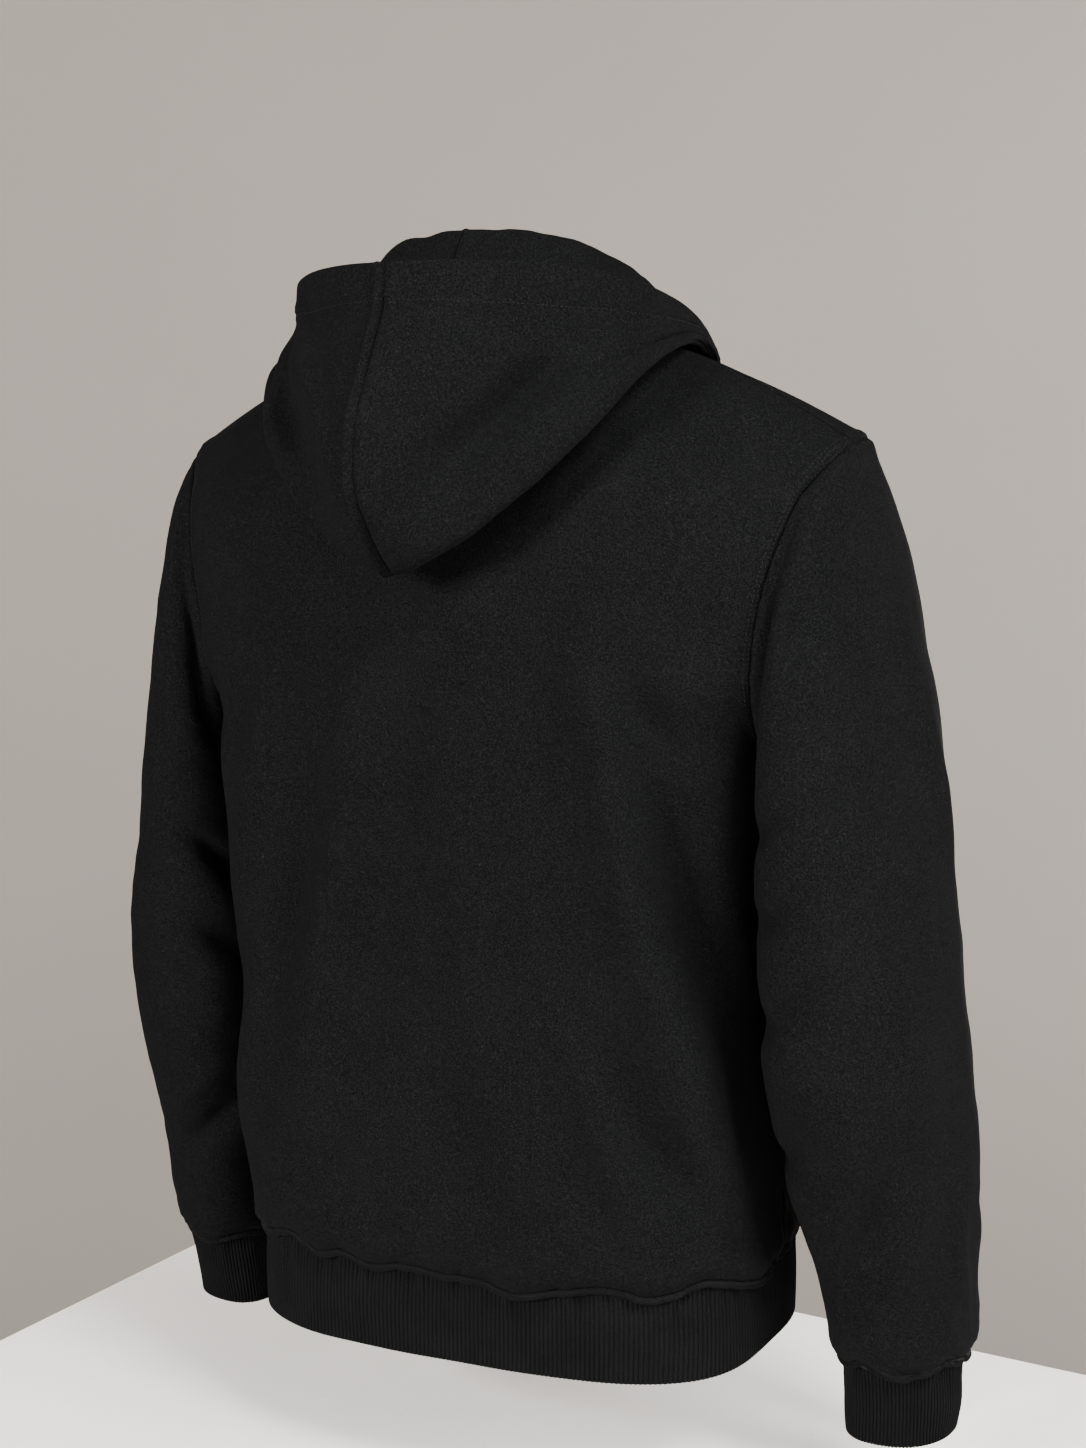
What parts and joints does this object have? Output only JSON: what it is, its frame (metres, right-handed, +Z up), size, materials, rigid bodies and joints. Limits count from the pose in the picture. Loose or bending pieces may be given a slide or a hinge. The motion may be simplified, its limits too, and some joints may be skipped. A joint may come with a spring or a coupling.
{
  "type": "hooded zip-front sweatshirt",
  "caption": "Hooded fleece sweatshirt with a full front zip, set-in sleeves, ribbed cuffs and a ribbed waistband, holding its worn shape with the hood down.",
  "frame": {"origin": "the middle of the wearer's shoulders, level with the outer ends of the shoulder seams, where the wearer holds the garment up", "axes": "+X towards the wearer's left, -Y towards the front, +Z up"},
  "size_m": [0.6376, 0.3534, 0.797],
  "materials": {
    "fleece": "black brushed fleece",
    "ribbing": "black knitted rib",
    "zip_tape": "black woven tape",
    "zip_metal": "dark nickel"
  },
  "bodies": {
    "garment": {"back": "fleece", "front_left": "fleece", "front_right": "fleece", "sleeve_left": "fleece", "sleeve_right": "fleece", "cuff_left": "ribbing", "cuff_right": "ribbing", "waistband_back": "ribbing", "waistband_front_left": "ribbing", "waistband_front_right": "ribbing", "hood_left": "fleece", "hood_right": "fleece", "zip_tape_left": "zip_tape", "zip_tape_right": "zip_tape", "zip_slider": "zip_metal"},
    "pull_tab": {"zip_pull": "zip_metal"}
  },
  "joints": [
    {"name": "pull_tab_hinge", "type": "hinge", "parent": "garment", "child": "pull_tab", "pos_m": [0, -0.10892, -0.06372], "axis": [-1, 0, 0], "range_deg": [0, 150]}
  ]
}
